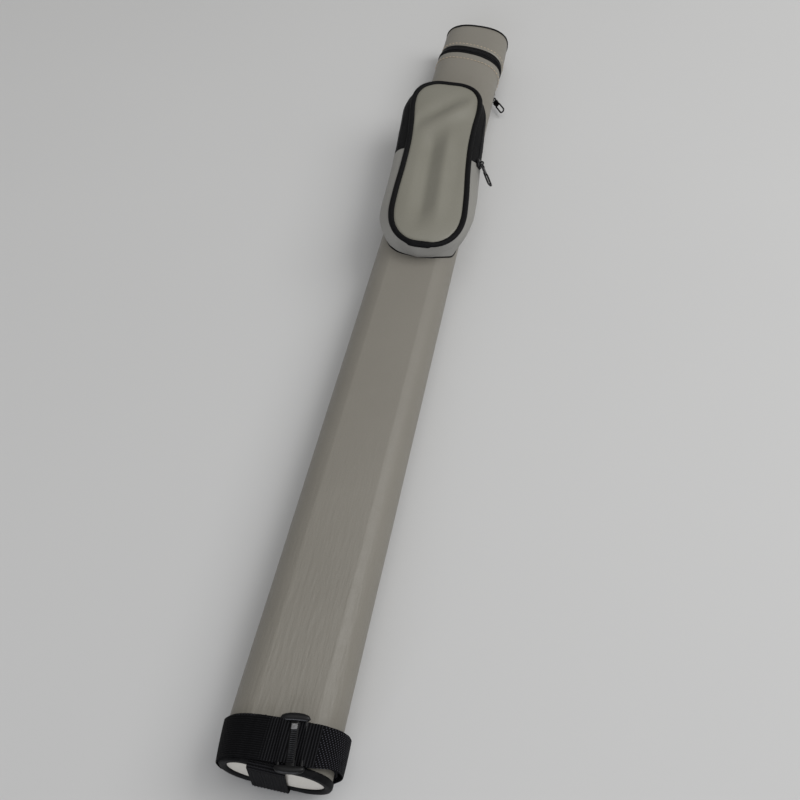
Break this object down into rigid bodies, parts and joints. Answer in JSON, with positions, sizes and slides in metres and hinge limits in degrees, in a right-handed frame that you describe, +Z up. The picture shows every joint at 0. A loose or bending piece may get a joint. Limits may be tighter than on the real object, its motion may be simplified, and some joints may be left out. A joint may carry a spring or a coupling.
{
  "type": "cue case",
  "caption": "Long hard case of oval section for a two-piece cue, with a zipped hinged lid, a zip pocket on its front and a webbing strap wound round its base.",
  "frame": {"origin": "centre of the bounding box at the surface the case lies on", "axes": "+Y along the case from its base to its lid, +Z up out of the pocket, +X across to the side of the zip pulls"},
  "size_m": [0.1054, 0.8562, 0.0638],
  "materials": {
    "leatherette": "satin fine grain",
    "shell": "matt",
    "board": "matt",
    "foam": "flocked",
    "sleeve": "matt",
    "webbing": "woven",
    "zip_tape": "woven",
    "zip_teeth": "satin",
    "binding": "satin",
    "plastic": "satin",
    "black_metal": "black lacquer"
  },
  "bodies": {
    "case": {"outer_cover": "leatherette", "tube_shell": "shell", "foam_core": "foam", "butt_sleeve": "sleeve", "shaft_sleeve": "sleeve", "butt_pad": "foam", "shaft_pad": "foam", "mouth_collar": "sleeve", "base_board": "board", "base_binding": "binding", "base_panel": "leatherette", "base_strap": "webbing", "strap_winding": "webbing", "strap_outer_turn": "webbing", "strap_end": "webbing", "strap_back_run": "webbing", "strap_anchor_patch": "leatherette", "triglide": "plastic", "body_zip_tape": "zip_tape", "body_zip_teeth": "zip_teeth", "tail_zip_teeth": "zip_teeth", "zip_bottom_stop": "black_metal", "hinge_lower_half": "leatherette", "pocket_gusset": "leatherette", "pocket_zip_tape": "zip_tape", "pocket_zip_teeth": "zip_teeth", "pocket_panel": "leatherette", "pocket_binding": "binding"},
    "lid": {"lid_cover": "leatherette", "lid_shell": "shell", "lid_board": "board", "lid_pad": "foam", "lid_top_panel": "leatherette", "lid_binding": "binding", "lid_zip_tape": "zip_tape", "lid_zip_teeth": "zip_teeth", "hinge_upper_half": "leatherette"},
    "flap": {"flap_panel": "leatherette", "flap_binding": "binding", "flap_zip_tape": "zip_tape", "flap_zip_teeth": "zip_teeth"},
    "lid_slider": {"lid_zip_slider": "black_metal"},
    "lid_pull": {"lid_zip_pull": "black_metal"},
    "pocket_slider": {"pocket_zip_slider": "black_metal"},
    "pocket_pull": {"pocket_zip_pull": "black_metal"}
  },
  "joints": [
    {"name": "lid_hinge", "type": "hinge", "parent": "case", "child": "lid", "pos_m": [-0.00417, 0.37095, 0.0043], "axis": [-0.9925, 0.1219, 0], "range_deg": [0, 135]},
    {"name": "flap_fold", "type": "hinge", "parent": "case", "child": "flap", "pos_m": [-0.00557, 0.15294, 0.0638], "axis": [0.9978, 0.0663, 0], "range_deg": [0, 140]},
    {"name": "lid_slider_travel", "type": "slide", "parent": "case", "child": "lid_slider", "axis": [0, 1, 0], "range_m": [0, 0.014]},
    {"name": "lid_pull_swing", "type": "hinge", "parent": "lid_slider", "child": "lid_pull", "pos_m": [0.02993, 0.34395, 0.00645], "axis": [0.7071, 0, 0.7071], "range_deg": [-22, 90]},
    {"name": "pocket_slider_travel", "type": "slide", "parent": "case", "child": "pocket_slider", "axis": [-0.0663, 0.9978, 0], "range_m": [0, 0.03]},
    {"name": "pocket_pull_swing", "type": "hinge", "parent": "pocket_slider", "child": "pocket_pull", "pos_m": [0.03841, 0.15085, 0.05888], "axis": [-0.5288, -0.0351, 0.848], "range_deg": [-20, 90]}
  ]
}
